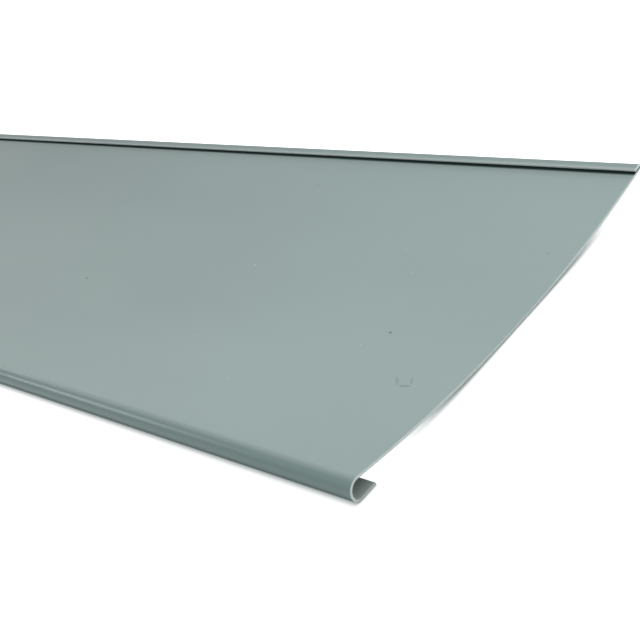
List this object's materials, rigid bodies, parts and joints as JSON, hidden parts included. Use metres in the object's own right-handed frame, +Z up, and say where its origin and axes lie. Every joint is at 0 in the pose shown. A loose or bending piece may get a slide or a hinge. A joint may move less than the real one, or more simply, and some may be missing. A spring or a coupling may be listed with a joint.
{
  "type": "eaves drip edge strip",
  "caption": "Grey-green plastic eaves drip edge strip: shallow dished web, open rounded bead with a flat return flange in front, hem folded over the back edge.",
  "frame": {"origin": "middle of the strip's length and width, on the level floor it lies on", "axes": "+X along the strip, +Y from the beaded front edge to the hemmed back edge, +Z up"},
  "size_m": [2, 0.25, 0.0135],
  "materials": {
    "sheet_pvc": "grey-green solid-coloured PVC with a satin skin and faint handling marks, paler on the sawn ends"
  },
  "bodies": {
    "root": {"drip_edge_strip": "sheet_pvc"}
  },
  "joints": []
}
